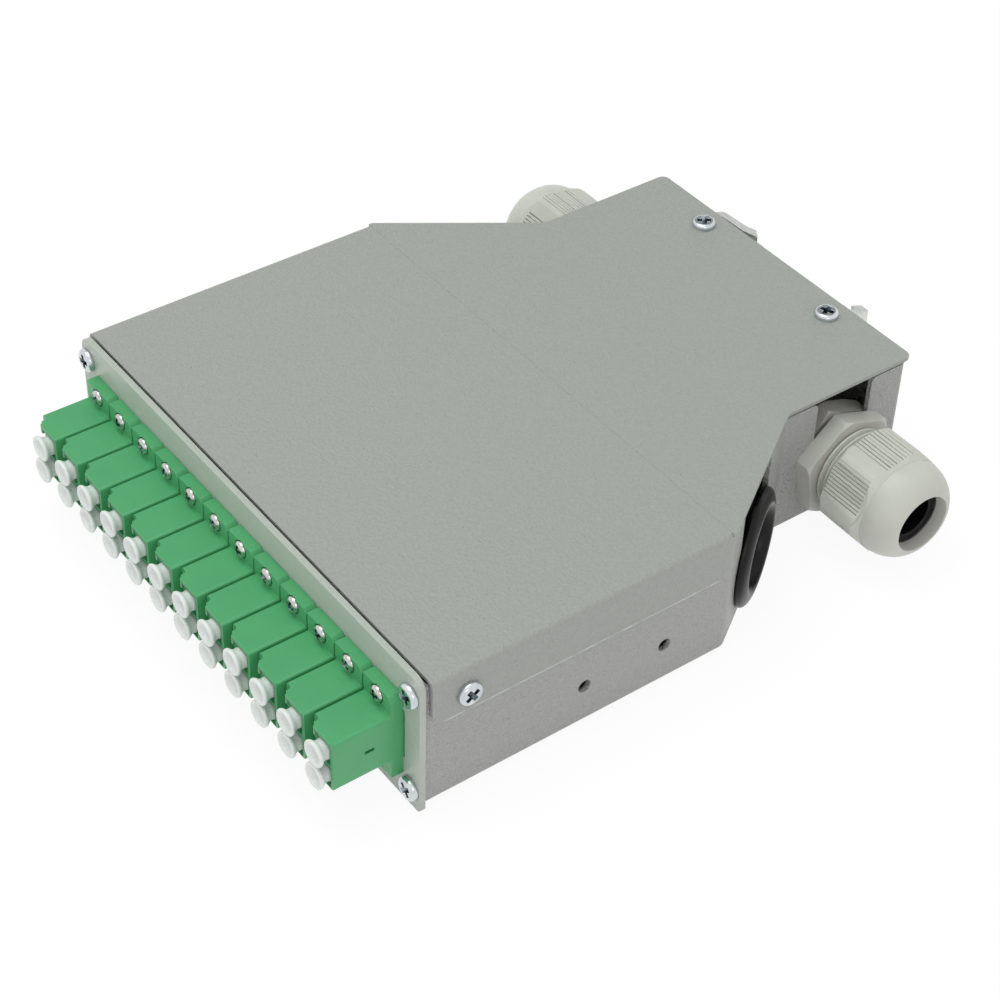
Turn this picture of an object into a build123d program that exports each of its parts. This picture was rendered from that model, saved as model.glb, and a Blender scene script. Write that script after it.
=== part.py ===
from build123d import *
import os
from math import hypot

# Fibre distribution box for a 35 mm rail, lying flat on its tray.
# Millimetres. +X runs right along the front, +Y to the rear, +Z up.
# The origin is the middle of the case's footprint, on the tray's underside.

os.makedirs("parts", exist_ok=True)

# Case: a wide front, tapered walls and a narrow neck
case_width = 134.0
case_height = 35.0
side_length = 76.8
taper_length = 34.4
neck_length = 36.8
neck_width = 87.9
sheet = 1.2
fold_radius = 1.9
tray_corner_radius = 2.4
cover_corner_radius = 3.0
cover_overhang = 0.6
cover_flange_height = 17.6
cover_flange_corner = 4.0
cover_setback = 0.5
sheet_gap = 0.1
tab_width = 5.0
rear_flange_depth = 11.0
rear_flange_width = 60.0

# Front panel
panel_side_inset = 0.7
panel_rise = 0.7
panel_thickness = 1.5
panel_top_radius = 3.0
panel_foot_radius = 1.0
panel_screw_from_edge = 5.1

# Duplex adapters, twelve side by side in one window of the panel
adapter_count = 12
adapter_pitch = 10.05
adapter_width = 9.65
adapter_height = 12.9
adapter_front_length = 13.5
adapter_rear_length = 10.5
adapter_rear_width = 9.3
adapter_rear_height = 12.5
adapter_edge = 0.45
ear_height = 22.0
ear_thickness = 2.9
ear_chamfer = 1.0
ear_screw_span = 18.0
window_gap = 0.3
port_pitch = 6.25
port_size = 5.2
port_shift = 1.1
port_depth = 9.0
latch_width = 2.7
latch_height = 3.0
latch_setback = 2.1
latch_edge = 2.9
side_slot_length = 2.1
side_slot_height = 0.45
side_slot_depth = 0.5
side_slot_from_ear = 3.9
sleeve_diameter = 1.6
sleeve_bore = 1.25
sleeve_length = 6.8
sleeve_gap = 0.1

# Flat sides drawn for a round form, which keep the mesh of many small pieces light
round_sides = 24
cap_sides = 12
screw_sides = 8
sleeve_sides = 6
standoff_sides = 6

# Dust caps
cap_lip_diameter = 6.0
cap_neck_diameter = 4.6
cap_reach = 2.5
cap_flare_length = 1.7
cap_plug_length = 8.0

# Screws
m2_thread = 2.0
m2_head = 3.4
m2_head_height = 1.4
m2_length = 6.0
m3_thread = 3.0
m3_head = 5.6
m3_head_height = 1.5
m3_length = 7.0
screw_gap = 0.1
side_screw_from_front = 9.4
side_screw_height = 28.3
top_screw_span = 43.6
top_screw_from_rear = 5.9

# Holes for a bracket in each wide side of the tray
bracket_hole_diameter = 3.2
bracket_hole_height = 10.9
bracket_hole_from_front = 39.75
bracket_hole_pitch = 21.0

# Cable glands, one in a slot of each neck wall
gland_from_front = 128.7
gland_height = 14.4
gland_slot_width = 16.0
gland_thread = 15.6
gland_hexagon = 23.3
gland_hexagon_length = 4.3
gland_flange_edge = 0.8
hexagon_turn = 10.0
gland_shank_length = 10.0
gland_collar = 20.2
gland_collar_length = 10.2
gland_bore = 12.4
gland_seat_bore = 16.4
gland_seat_depth = 9.5
lock_nut_hexagon = 22.0
lock_nut_length = 5.0
nut_hexagon = 23.8
nut_corner_cut = 1.1
nut_start = 8.6
nut_hexagon_length = 12.0
nut_dome_length = 7.5
nut_dome_base = 22.6
nut_dome_knee = 21.1
nut_dome_knee_height = 3.0
nut_lip = 15.0
nut_mouth = 13.2
nut_mouth_length = 1.2
gland_gap = 0.25
seal_bore = 10.0
seal_recess = 2.5
seal_nose_length = 2.6
seal_shoulder_length = 4.0
seal_gap = 0.3
nut_travel_in = 4.0

# Grommets, one in a slot of each tapered wall
grommet_along_taper = 20.0
grommet_height = 14.2
grommet_slot_width = 21.0
grommet_lip_diameter = 27.2
grommet_inner_lip = 24.0
grommet_lip = 2.4
grommet_lip_edge = 0.8
grommet_bore = 17.4
grommet_gap = 0.1

# Rail clip: a length of extruded section on the rear wall
rail_width = 35.0
rail_thickness = 1.0
clip_length = 27.0
clip_shift = 3.1
clip_plate = 1.5
clip_seat = 3.6
clip_seat_width = 2.5
clip_depth = 6.9
clip_hook = 2.6
clip_tooth = 1.1
clip_arm = 2.3
clip_arm_reach = 13.4
clip_slack = 0.2
clip_screw_span = 16.0

# Splice tray on four standoffs
splice_width = 108.0
splice_length = 56.0
splice_from_front = 20.0
splice_wall = 1.6
splice_rim = 8.0
splice_corner = 14.0
splice_entry = 14.0
splice_entry_span = 76.0
standoff_diameter = 6.0
standoff_height = 5.0
standoff_inset = 9.0
splice_screw_length = 5.5
holder_width = 46.0
holder_depth = 12.0
holder_height = 6.0
holder_floor = 1.5
holder_spacing = 54.0
groove_count = 12
groove_width = 2.6

# Derived places
case_depth = side_length + taper_length + neck_length
front_y = -case_depth / 2
rear_y = case_depth / 2
taper_y = front_y + side_length
neck_y = taper_y + taper_length
half_width = case_width / 2
half_neck = neck_width / 2
mid_z = case_height / 2
tray_top = case_height - sheet
cover_front = front_y + cover_setback
flange_end = taper_y - cover_corner_radius
tray_half_width = half_width - sheet - sheet_gap
tray_rear = rear_y - cover_overhang
tray_neck = half_neck - cover_overhang
panel_width = case_width - 2 * panel_side_inset
panel_height = case_height + 2 * panel_rise
panel_front = front_y - panel_thickness
ear_front = panel_front - ear_thickness
adapter_front = ear_front - adapter_front_length
adapter_back = panel_front + adapter_rear_length
adapter_xs = [(i - (adapter_count - 1) / 2) * adapter_pitch for i in range(adapter_count)]
port_zs = [mid_z - port_pitch / 2, mid_z + port_pitch / 2]
ear_screw_zs = [mid_z - ear_screw_span / 2, mid_z + ear_screw_span / 2]
ear_screw_places = [(x, z) for x in adapter_xs for z in ear_screw_zs]
port_places = [(x + port_shift, z) for x in adapter_xs for z in port_zs]
panel_screw_x = tray_half_width - tab_width / 2
panel_screw_rise = panel_height / 2 - panel_screw_from_edge
panel_screw_places = [
    (side * panel_screw_x, mid_z + level * panel_screw_rise)
    for side in (-1, 1)
    for level in (-1, 1)
]
side_screw_y = front_y + side_screw_from_front
clip_wall = Plane(origin=(0, tray_rear, 0), x_dir=(-1, 0, 0), z_dir=(0, 1, 0))
clip_screw_places = [(-clip_shift + side * clip_screw_span / 2, mid_z) for side in (-1, 1)]
top_screw_y = rear_y - top_screw_from_rear


def facing_front(y):
    """A plane at y that faces forward, drawn in world x and z."""
    return Plane(origin=(0, y, 0), x_dir=(1, 0, 0), z_dir=(0, -1, 0))


def facing_side(side, x):
    """A plane that faces out of the right or left side, drawn in world y and z from the side's view."""
    return Plane(origin=(side * x, 0, 0), x_dir=(0, side, 0), z_dir=(side, 0, 0))


def case_plan(inset, half, front):
    """Plan of the case moved in by inset all round, cut to half each side and at front."""
    reach = rear_y - front
    with BuildSketch() as plan:
        with BuildLine():
            Polyline(
                (-half_width, front_y - side_length),
                (half_width, front_y - side_length),
                (half_width, taper_y),
                (half_neck, neck_y),
                (half_neck, rear_y),
                (-half_neck, rear_y),
                (-half_neck, neck_y),
                (-half_width, taper_y),
                close=True,
            )
        make_face()
        if inset > 0:
            offset(amount=-inset, kind=Kind.INTERSECTION)
        with Locations((0, front + reach / 2)):
            Rectangle(2 * half, reach, mode=Mode.INTERSECT)
    return plan.sketch


def rounded_plan(inset, half, front, radius):
    """The case plan with every corner but the two front ones rounded."""
    with BuildSketch() as plan:
        add(case_plan(inset, half, front))
        fillet(plan.vertices().group_by(Axis.Y)[1:], radius)
    return plan.sketch


def taper_plane(side):
    """A plane on the tray's tapered wall, facing out, at the grommet's centre."""
    run = hypot(half_width - half_neck, taper_length)
    along = (-side * (half_width - half_neck) / run, taper_length / run, 0)
    out = (side * taper_length / run, (half_width - half_neck) / run, 0)
    centre = (
        side * half_width + along[0] * grommet_along_taper - out[0] * cover_overhang,
        taper_y + along[1] * grommet_along_taper - out[1] * cover_overhang,
        grommet_height,
    )
    return Plane(origin=centre, x_dir=(side * along[0], side * along[1], 0), z_dir=out)


def gland_plane(side):
    """A plane on the tray's neck wall, facing out, on the gland's axis."""
    centre = (side * tray_neck, front_y + gland_from_front, gland_height)
    return Plane(origin=centre, x_dir=(0, side, 0), z_dir=(side, 0, 0))


def open_slot(width, depth_to_top):
    """A slot with a round bottom at the origin that runs straight up past the wall's top."""
    with BuildSketch() as slot:
        Circle(width / 2)
        with Locations((0, depth_to_top / 2)):
            Rectangle(width, depth_to_top)
    return slot.sketch


# Base tray: floor, wide sides, tapered walls, neck walls and rear wall in one folded sheet
with BuildPart() as base_tray:
    with BuildSketch():
        add(rounded_plan(cover_overhang, tray_half_width, front_y, tray_corner_radius))
    extrude(amount=tray_top)
    fillet(base_tray.faces().sort_by(Axis.Z)[0].edges().sort_by(Axis.Y)[1:], fold_radius)
    with BuildPart(mode=Mode.PRIVATE) as hollow:
        with BuildSketch(Plane.XY.offset(sheet)):
            add(
                rounded_plan(
                    cover_overhang + sheet,
                    tray_half_width - sheet,
                    front_y - sheet,
                    tray_corner_radius - sheet,
                )
            )
        extrude(amount=case_height)
    add(hollow.part, mode=Mode.SUBTRACT)
    # The wide sides end below the radius of the cover's fold
    with BuildSketch(Plane.XY.offset(tray_top)) as below_fold:
        with Locations((0, (front_y + flange_end) / 2)):
            Rectangle(case_width, flange_end - front_y)
    extrude(amount=sheet - fold_radius - sheet_gap, mode=Mode.SUBTRACT)
    # Tabs folded in at the front, for the panel's screws
    for side in (-1, 1):
        with BuildSketch(facing_front(front_y)) as tab:
            with Locations((side * (tray_half_width - tab_width / 2), (tray_top + sheet) / 2)):
                Rectangle(tab_width, tray_top - sheet)
        extrude(amount=-sheet)
    with BuildSketch(facing_front(front_y)) as panel_holes:
        with Locations(*panel_screw_places):
            RegularPolygon(m3_thread / 2, screw_sides)
    extrude(amount=-m3_length, mode=Mode.SUBTRACT)
    # Flange folded in at the rear, for the two screws on top
    with BuildSketch(Plane.XY.offset(tray_top - sheet)) as rear_flange:
        with Locations((0, tray_rear - rear_flange_depth / 2)):
            Rectangle(rear_flange_width, rear_flange_depth)
        with Locations((0, top_screw_y)):
            with GridLocations(top_screw_span, 0, 2, 1):
                RegularPolygon(m3_thread / 2, screw_sides, mode=Mode.SUBTRACT)
    extrude(amount=sheet)
    for side in (-1, 1):
        # Slots for the gland and the grommet, open at the top
        with BuildSketch(gland_plane(side)) as gland_slot:
            add(open_slot(gland_slot_width, case_height))
        extrude(amount=-sheet - sheet_gap, mode=Mode.SUBTRACT)
        with BuildSketch(taper_plane(side)) as grommet_slot:
            add(open_slot(grommet_slot_width, case_height))
        extrude(amount=-sheet - sheet_gap, mode=Mode.SUBTRACT)
        # Bracket holes and the tapped hole of the cover's side screw
        with BuildSketch(facing_side(side, tray_half_width)) as side_holes:
            with Locations((side * side_screw_y, side_screw_height)):
                RegularPolygon(m3_thread / 2, screw_sides)
            bracket_y = front_y + bracket_hole_from_front
            with Locations((side * bracket_y, bracket_hole_height)):
                Circle(bracket_hole_diameter / 2)
            with Locations((side * (bracket_y + bracket_hole_pitch), bracket_hole_height)):
                Circle(bracket_hole_diameter / 2)
        extrude(amount=-sheet, mode=Mode.SUBTRACT)
    # Tapped holes of the rail clip's screws
    with BuildSketch(clip_wall) as clip_holes:
        with Locations(*clip_screw_places):
            RegularPolygon(m3_thread / 2, screw_sides)
    extrude(amount=-sheet, mode=Mode.SUBTRACT)
base_tray.part.label = "base_tray"
export_step(base_tray.part, "parts/base_tray.step")

# Top cover: a flat sheet with a flange folded down along each wide side
with BuildPart() as top_cover:
    with BuildSketch(Plane.XY.offset(tray_top)):
        add(rounded_plan(0, half_width, flange_end, cover_corner_radius / 2))
    extrude(amount=sheet)
    with BuildSketch(facing_front(cover_front)) as section:
        with Locations((0, case_height - cover_flange_height / 2)):
            Rectangle(case_width, cover_flange_height)
        fillet(section.vertices().group_by(Axis.Y)[-1], fold_radius)
        with BuildSketch(mode=Mode.PRIVATE) as inside:
            with Locations((0, tray_top - cover_flange_height / 2)):
                Rectangle(case_width - 2 * sheet, cover_flange_height)
            fillet(inside.vertices().group_by(Axis.Y)[-1], fold_radius - sheet)
        add(inside.sketch, mode=Mode.SUBTRACT)
    extrude(amount=cover_front - flange_end)
    fillet(top_cover.edges().filter_by(Axis.X).group_by(Axis.Z)[0], cover_flange_corner)
    for side in (-1, 1):
        with BuildSketch(facing_side(side, half_width)) as side_hole:
            with Locations((side * side_screw_y, side_screw_height)):
                RegularPolygon(m3_thread / 2 + screw_gap, screw_sides)
        extrude(amount=-sheet, mode=Mode.SUBTRACT)
    with BuildSketch(Plane.XY.offset(tray_top)) as top_holes:
        with Locations((0, top_screw_y)):
            with GridLocations(top_screw_span, 0, 2, 1):
                RegularPolygon(m3_thread / 2 + screw_gap, screw_sides)
    extrude(amount=sheet, mode=Mode.SUBTRACT)
top_cover.part.label = "top_cover"
export_step(top_cover.part, "parts/top_cover.step")

# Front panel: a flat plate with one window for the whole row of adapters
window_width = (adapter_count - 1) * adapter_pitch + adapter_rear_width + 2 * window_gap
window_height = adapter_rear_height + 2 * window_gap
with BuildPart() as front_panel:
    with BuildSketch(facing_front(front_y)) as panel_face:
        with Locations((0, mid_z)):
            Rectangle(panel_width, panel_height)
        fillet(panel_face.vertices().group_by(Axis.Y)[-1], panel_top_radius)
        fillet(panel_face.vertices().group_by(Axis.Y)[0], panel_foot_radius)
        with Locations((0, mid_z)):
            Rectangle(window_width, window_height, mode=Mode.SUBTRACT)
        with Locations(*panel_screw_places):
            RegularPolygon(m3_thread / 2 + screw_gap, screw_sides, mode=Mode.SUBTRACT)
        with Locations(*ear_screw_places):
            RegularPolygon(m2_thread / 2 + screw_gap, screw_sides, mode=Mode.SUBTRACT)
    extrude(amount=panel_thickness)
front_panel.part.label = "front_panel"
export_step(front_panel.part, "parts/front_panel.step")


def duplex_adapter(x):
    """One moulded adapter: two ports in front and behind, with a screw ear above and below."""
    rising = Axis((0, 0, 0), (1, 1, 0))
    with BuildPart() as adapter:
        with BuildSketch(facing_front(panel_front)) as ears:
            with Locations((x, mid_z)):
                Rectangle(adapter_width, ear_height)
            corners = ears.vertices().sort_by(rising)
            chamfer([corners[0], corners[-1]], ear_chamfer)
        extrude(amount=ear_thickness)
        with BuildSketch(facing_front(ear_front)) as body:
            with Locations((x, mid_z)):
                Rectangle(adapter_width, adapter_height)
            chamfer(body.vertices(), adapter_edge)
        extrude(amount=adapter_front_length)
        with BuildSketch(facing_front(panel_front)) as rear_body:
            with Locations((x, mid_z)):
                Rectangle(adapter_rear_width, adapter_rear_height)
        extrude(amount=-adapter_rear_length)
        # The left wall stands back from the mouth, behind the plugs' latches
        with BuildSketch(facing_front(adapter_front)) as left_wall:
            with Locations((x - adapter_width / 2 + latch_edge / 2, mid_z)):
                Rectangle(latch_edge, adapter_height)
        extrude(amount=-latch_setback, mode=Mode.SUBTRACT)
        # Front ports with their latch channels
        with BuildSketch(facing_front(adapter_front)) as ports:
            with Locations(*[(x + port_shift, z) for z in port_zs]):
                Rectangle(port_size, port_size)
                with Locations((-port_size / 2 - latch_width / 2, 0)):
                    Rectangle(latch_width, latch_height)
        extrude(amount=-port_depth, mode=Mode.SUBTRACT)
        # One mouth behind, for the pigtails' duplex plug
        with BuildSketch(facing_front(adapter_back)) as rear_mouth:
            with Locations((x + port_shift, mid_z)):
                Rectangle(port_size, port_pitch + port_size)
        extrude(amount=port_depth, mode=Mode.SUBTRACT)
        # A seat for the alignment sleeve between each pair of ports
        with BuildSketch(facing_front(adapter_back)) as seats:
            with Locations(*[(x + port_shift, z) for z in port_zs]):
                RegularPolygon(sleeve_diameter / 2 + sleeve_gap, sleeve_sides)
        extrude(amount=adapter_back - adapter_front, mode=Mode.SUBTRACT)
        # Counterbored screw hole in each ear
        with BuildSketch(facing_front(panel_front)) as holes:
            with Locations(*[(x, z) for z in ear_screw_zs]):
                RegularPolygon(m2_thread / 2 + screw_gap, screw_sides)
        extrude(amount=ear_thickness, mode=Mode.SUBTRACT)
        with BuildSketch(facing_front(ear_front)) as counterbores:
            with Locations(*[(x, z) for z in ear_screw_zs]):
                RegularPolygon(m2_head / 2 + screw_gap, screw_sides)
        extrude(amount=-m2_head_height, mode=Mode.SUBTRACT)
        # Narrow slot in the right side
        with BuildSketch(facing_side(1, x + adapter_width / 2)) as side_slot:
            with Locations((ear_front - side_slot_from_ear - side_slot_length / 2, mid_z)):
                Rectangle(side_slot_length, side_slot_height)
        extrude(amount=-side_slot_depth, mode=Mode.SUBTRACT)
    return adapter.part


for number, x in enumerate(adapter_xs, start=1):
    adapter = duplex_adapter(x)
    adapter.label = f"adapter_{number:02d}"
    export_step(adapter, f"parts/{adapter.label}.step")

# Split sleeves that line the ferrules up, one in each port's seat
with BuildPart() as alignment_sleeves:
    sleeve_middle = (adapter_front + adapter_back) / 2
    with BuildSketch(facing_front(sleeve_middle + sleeve_length / 2)) as sleeves:
        with Locations(*port_places):
            RegularPolygon(sleeve_diameter / 2, sleeve_sides)
            RegularPolygon(sleeve_bore / 2, sleeve_sides, mode=Mode.SUBTRACT)
    extrude(amount=sleeve_length)
alignment_sleeves.part.label = "alignment_sleeves"
export_step(alignment_sleeves.part, "parts/alignment_sleeves.step")


def tapered(sides, sections):
    """A round form with flat sides about local Z, lofted through (radius, height) sections."""
    with BuildPart() as solid:
        for radius, height in sections:
            with BuildSketch(Plane.XY.offset(height)):
                RegularPolygon(radius, sides)
        loft(ruled=True)
    return solid.part


# Dust caps: a soft plug with a flared lip in each front port
cap_sections = [
    (cap_neck_diameter / 2, -cap_plug_length),
    (cap_neck_diameter / 2, cap_reach - cap_flare_length),
    (cap_lip_diameter / 2, cap_reach),
]
dust_cap_shape = tapered(cap_sides, cap_sections)
for number, x in enumerate(adapter_xs, start=1):
    for letter, z in zip("ab", reversed(port_zs)):
        mouth = Plane(origin=(x + port_shift, adapter_front, z), x_dir=(1, 0, 0), z_dir=(0, -1, 0))
        dust_cap = mouth.location * dust_cap_shape
        dust_cap.label = f"dust_cap_{number:02d}{letter}"
        export_step(dust_cap, f"parts/{dust_cap.label}.step")


def screw_set(plane, places, head, head_height, thread, length):
    """Screws along a plane's normal, with the heads' undersides on the plane."""
    with BuildPart() as screws:
        with BuildSketch(plane):
            with Locations(*places):
                RegularPolygon(head / 2, screw_sides)
        extrude(amount=head_height)
        with BuildSketch(plane):
            with Locations(*places):
                RegularPolygon(thread / 2, screw_sides)
        extrude(amount=-length)
    return screws.part


adapter_screws = screw_set(
    facing_front(ear_front + m2_head_height), ear_screw_places, m2_head, m2_head_height, m2_thread, m2_length
)
adapter_screws.label = "adapter_screws"
export_step(adapter_screws, "parts/adapter_screws.step")

panel_screws = screw_set(
    facing_front(panel_front), panel_screw_places, m3_head, m3_head_height, m3_thread - 2 * screw_gap, m3_length
)
panel_screws.label = "panel_screws"
export_step(panel_screws, "parts/panel_screws.step")

top_screw_places = [(side * top_screw_span / 2, top_screw_y) for side in (-1, 1)]
with BuildPart() as cover_screws:
    add(
        screw_set(
            Plane.XY.offset(case_height), top_screw_places, m3_head, m3_head_height, m3_thread - 2 * screw_gap, m3_length
        )
    )
    for side in (-1, 1):
        add(
            screw_set(
                facing_side(side, half_width),
                [(side * side_screw_y, side_screw_height)],
                m3_head,
                m3_head_height,
                m3_thread - 2 * screw_gap,
                m3_length,
            )
        )
cover_screws.part.label = "cover_screws"
export_step(cover_screws.part, "parts/cover_screws.step")

# Cable glands: body and lock nut on the wall, a nut that turns and the seal it carries
hexagon_angle = 90 + hexagon_turn
collar_end = gland_hexagon_length + gland_collar_length
seat_bottom = collar_end - gland_seat_depth
nut_shoulder = nut_start + nut_hexagon_length
nut_front = nut_shoulder + nut_dome_length
seal_front = nut_front - seal_recess
seal_back = seat_bottom + nut_travel_in + seal_gap


def hexagon(height, across_flats, length):
    """A hexagonal prism about local Z from height upwards."""
    with BuildPart() as prism:
        with BuildSketch(Plane.XY.offset(height)):
            RegularPolygon(across_flats / 2, 6, major_radius=False, rotation=hexagon_angle)
        extrude(amount=length)
    return prism.part


def gland_body():
    """Hexagon flange outside the wall, a threaded shank inside and a threaded collar outside."""
    with BuildPart() as body:
        add(hexagon(0, gland_hexagon, gland_hexagon_length))
        chamfer(body.faces().sort_by(Axis.Z)[-1].edges(), gland_flange_edge)
        with BuildSketch(Plane.XY.offset(-gland_shank_length)):
            RegularPolygon(gland_thread / 2, round_sides)
        extrude(amount=gland_shank_length)
        with BuildSketch(Plane.XY):
            RegularPolygon(gland_collar / 2, round_sides)
        extrude(amount=collar_end)
        with BuildSketch(Plane.XY.offset(-gland_shank_length)):
            RegularPolygon(gland_bore / 2, round_sides)
        extrude(amount=gland_shank_length + collar_end, mode=Mode.SUBTRACT)
        with BuildSketch(Plane.XY.offset(seat_bottom)):
            RegularPolygon(gland_seat_bore / 2, round_sides)
        extrude(amount=gland_seat_depth, mode=Mode.SUBTRACT)
    return body.part


def gland_lock_nut():
    """Thin hexagon nut that draws the gland against the wall from inside."""
    start = -sheet - sheet_gap - lock_nut_length
    with BuildPart() as nut:
        add(hexagon(start, lock_nut_hexagon, lock_nut_length))
        with BuildSketch(Plane.XY.offset(start)):
            RegularPolygon(gland_thread / 2 + sheet_gap, round_sides)
        extrude(amount=lock_nut_length, mode=Mode.SUBTRACT)
    return nut.part


def gland_nut():
    """Domed hexagon nut over the collar, with its corners cut back and an open mouth."""
    collar_bore = gland_collar / 2 + gland_gap
    dome = [
        (nut_dome_base / 2, nut_shoulder),
        (nut_dome_knee / 2, nut_shoulder + nut_dome_knee_height),
        (nut_lip / 2, nut_front),
    ]
    clamp_cone = [
        (collar_bore, nut_shoulder - nut_mouth_length),
        (nut_mouth / 2, nut_front - nut_mouth_length),
    ]
    with BuildPart() as nut:
        add(hexagon(nut_start, nut_hexagon, nut_hexagon_length))
        chamfer(nut.edges().filter_by(Axis.Z), nut_corner_cut)
        add(tapered(round_sides, dome))
        add(tapered(round_sides, clamp_cone), mode=Mode.SUBTRACT)
        with BuildSketch(Plane.XY.offset(nut_start)):
            Circle(collar_bore)
        extrude(amount=nut_hexagon_length - nut_mouth_length, mode=Mode.SUBTRACT)
        with BuildSketch(Plane.XY.offset(nut_front)):
            Circle(nut_mouth / 2)
        extrude(amount=-nut_mouth_length, mode=Mode.SUBTRACT)
    return nut.part


def gland_seal():
    """Rubber sleeve with a shoulder, loose in the body's seat and in the nut's mouth."""
    seat_fit = gland_seat_bore / 2 - seal_gap
    mouth_fit = nut_mouth / 2 - seal_gap
    nose = seal_front - seal_nose_length
    sections = [
        (seat_fit, seal_back),
        (seat_fit, nose - seal_shoulder_length),
        (mouth_fit, nose),
        (mouth_fit, seal_front),
    ]
    with BuildPart() as seal:
        add(tapered(round_sides, sections))
        with BuildSketch(Plane.XY.offset(seal_back)):
            Circle(seal_bore / 2)
        extrude(amount=seal_front - seal_back, mode=Mode.SUBTRACT)
    return seal.part


def grommet():
    """Rubber ring with a groove that grips the edge of the wall's slot."""
    groove = grommet_slot_width / 2 - grommet_gap
    lip = grommet_lip_diameter / 2
    outside = grommet_gap + grommet_lip
    inside = -sheet - outside
    inner_lip = [
        (grommet_inner_lip / 2 - grommet_lip_edge, inside),
        (grommet_inner_lip / 2, -sheet - grommet_gap),
    ]
    outer_lip = [
        (lip, grommet_gap),
        (lip, outside - grommet_lip_edge),
        (lip - grommet_lip_edge, outside),
    ]
    with BuildPart() as ring:
        add(tapered(round_sides, inner_lip))
        add(tapered(round_sides, [(groove, -sheet - grommet_gap), (groove, grommet_gap)]))
        add(tapered(round_sides, outer_lip))
        with BuildSketch(Plane.XY.offset(inside)):
            RegularPolygon(grommet_bore / 2, round_sides)
        extrude(amount=outside - inside, mode=Mode.SUBTRACT)
    return ring.part


for name, side in (("left", -1), ("right", 1)):
    pieces = {
        "gland_body": (gland_plane(side), gland_body()),
        "gland_lock_nut": (gland_plane(side), gland_lock_nut()),
        "gland_nut": (gland_plane(side), gland_nut()),
        "gland_seal": (gland_plane(side), gland_seal()),
        "grommet": (taper_plane(side), grommet()),
    }
    for kind, (plane, shape) in pieces.items():
        piece = plane.location * shape
        piece.label = f"{kind}_{name}"
        export_step(piece, f"parts/{piece.label}.step")

# Rail clip: plate, fixed hook at the right and a springing arm at the left, all one section.
# The section is drawn with x along the wall and y away from it.
hook_face = clip_shift + rail_width / 2 + clip_slack
tip_face = clip_shift - rail_width / 2 - clip_slack
arm_end = tip_face - clip_arm_reach
tooth_under = clip_seat + rail_thickness + clip_slack
arm_under = tooth_under + clip_slack - clip_arm
left_seat = tip_face + clip_seat_width
tip_block = tip_face - clip_arm
clip_bottom = mid_z - clip_length / 2
with BuildPart() as rail_clip:
    with BuildSketch(Plane(origin=(0, tray_rear, clip_bottom), x_dir=(1, 0, 0), z_dir=(0, 0, 1))) as clip_section:
        with BuildLine():
            Polyline(
                (arm_end, 0),
                (hook_face + clip_hook, 0),
                (hook_face + clip_hook, clip_depth),
                (hook_face, clip_depth),
                (hook_face - clip_tooth, tooth_under + clip_slack),
                (hook_face - clip_tooth, tooth_under),
                (hook_face, tooth_under),
                (hook_face, clip_seat),
                (hook_face - clip_seat_width, clip_seat),
                (hook_face - clip_seat_width, clip_plate),
                (left_seat + clip_seat_width, clip_plate),
                (left_seat + clip_seat_width, clip_seat),
                (left_seat, clip_seat),
                (left_seat, clip_plate),
                (arm_end + clip_arm, clip_plate),
                (arm_end + clip_arm, arm_under),
                (tip_face, arm_under),
                (tip_face, tooth_under),
                (tip_face + clip_tooth, tooth_under),
                (tip_face + clip_tooth, tooth_under + clip_slack),
                (tip_block, clip_depth),
                (tip_block - clip_arm, arm_under + clip_arm),
                (arm_end, arm_under + clip_arm),
                close=True,
            )
        make_face()
    extrude(amount=clip_length)
    with BuildSketch(clip_wall) as clip_screw_holes:
        with Locations(*clip_screw_places):
            RegularPolygon(m3_thread / 2 + screw_gap, screw_sides)
    extrude(amount=clip_plate, mode=Mode.SUBTRACT)
rail_clip.part.label = "rail_clip"
export_step(rail_clip.part, "parts/rail_clip.step")

rail_clip_screws = screw_set(
    clip_wall.offset(clip_plate), clip_screw_places, m3_head, m3_head_height, m3_thread - 2 * screw_gap, m3_length
)
rail_clip_screws.label = "rail_clip_screws"
export_step(rail_clip_screws, "parts/rail_clip_screws.step")

# Splice tray: a moulded dish with entries in its front and rear rims
splice_z = sheet + standoff_height
splice_y = front_y + splice_from_front + splice_length / 2
splice_screw_span_x = splice_width - 2 * standoff_inset
splice_screw_span_y = splice_length - 2 * standoff_inset
with BuildPart() as splice_tray:
    with BuildSketch(Plane.XY.offset(splice_z)):
        with Locations((0, splice_y)):
            RectangleRounded(splice_width, splice_length, splice_corner)
    extrude(amount=splice_rim)
    with BuildSketch(Plane.XY.offset(splice_z + splice_wall)):
        with Locations((0, splice_y)):
            RectangleRounded(
                splice_width - 2 * splice_wall, splice_length - 2 * splice_wall, splice_corner - splice_wall
            )
            with GridLocations(splice_entry_span, 0, 2, 1):
                Rectangle(splice_entry, splice_length)
    extrude(amount=splice_rim, mode=Mode.SUBTRACT)
    with BuildSketch(Plane.XY.offset(splice_z)):
        with Locations((0, splice_y)):
            with GridLocations(splice_screw_span_x, splice_screw_span_y, 2, 2):
                RegularPolygon(m3_thread / 2 + screw_gap, screw_sides)
    extrude(amount=splice_wall, mode=Mode.SUBTRACT)
splice_tray.part.label = "splice_tray"
export_step(splice_tray.part, "parts/splice_tray.step")

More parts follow.
